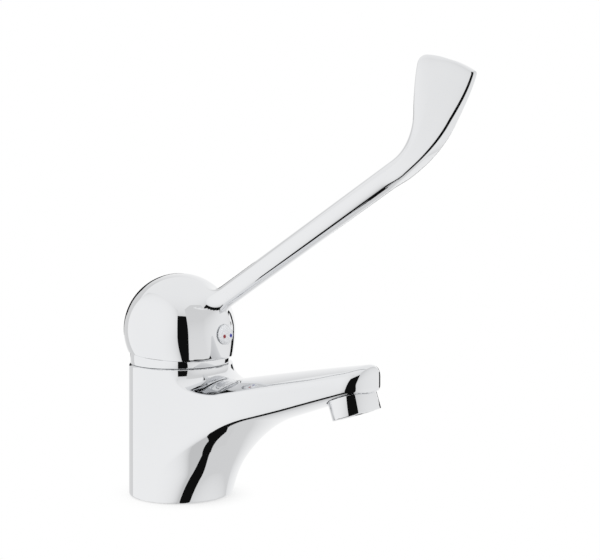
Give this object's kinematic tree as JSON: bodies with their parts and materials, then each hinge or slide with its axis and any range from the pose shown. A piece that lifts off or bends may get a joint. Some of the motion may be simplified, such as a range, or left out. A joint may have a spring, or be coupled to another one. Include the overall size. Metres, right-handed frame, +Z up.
{
  "type": "elbow lever tap",
  "caption": "Chromed basin mixer tap with a tapered spout cast on a round body, a domed cap and a long elbow lever that lifts for flow and swings for temperature.",
  "frame": {"origin": "centre of the round base, on the face that sits on the basin", "axes": "+Z up along the body axis, +X along the spout and the lever, +Y to the cold side"},
  "size_m": [0.2044, 0.0592, 0.2198],
  "materials": {
    "chrome_plate": "mirror polished plating",
    "bare_brass": "machined",
    "steel": "machined",
    "black_rubber": "moulded",
    "pale_plastic": "moulded",
    "dark_plastic": "moulded",
    "ceramic": "lapped ceramic",
    "button_white": "glossy",
    "mark_red": "printed",
    "mark_blue": "printed"
  },
  "bodies": {
    "tap": {"body_casting": "chrome_plate", "base_seal": "black_rubber", "cartridge_base": "pale_plastic", "port_seals": "black_rubber", "fixed_disc": "ceramic", "cartridge_housing": "pale_plastic", "nut_washer": "bare_brass", "clamp_nut": "bare_brass", "cover_ring": "chrome_plate", "aerator_shell": "chrome_plate", "aerator_washer": "black_rubber", "aerator_basket": "pale_plastic", "aerator_screen": "steel"},
    "swing": {"spindle_carrier": "dark_plastic", "pivot_pin": "steel"},
    "lever": {"spindle": "bare_brass", "spindle_bush": "pale_plastic", "lever_handle": "chrome_plate", "set_screw": "steel", "index_button": "button_white", "hot_mark": "mark_red", "cold_mark": "mark_blue"},
    "disc": {"moving_disc": "ceramic", "disc_coupler": "pale_plastic"}
  },
  "joints": [
    {"name": "temperature_swing", "type": "hinge", "parent": "tap", "child": "swing", "pos_m": [0, 0, 0.064], "axis": [0, 0, 1], "range_deg": [-50, 50]},
    {"name": "lever_lift", "type": "hinge", "parent": "swing", "child": "lever", "pos_m": [0, 0, 0.064], "axis": [0, -1, 0], "range_deg": [0, 25]},
    {"name": "disc_slide", "type": "slide", "parent": "swing", "child": "disc", "axis": [1, 0, 0], "range_m": [0, 0.0049]}
  ],
  "couplings": [
    {"joint": "disc_slide", "follows": "lever_lift", "m_per_rad": 0.011}
  ]
}
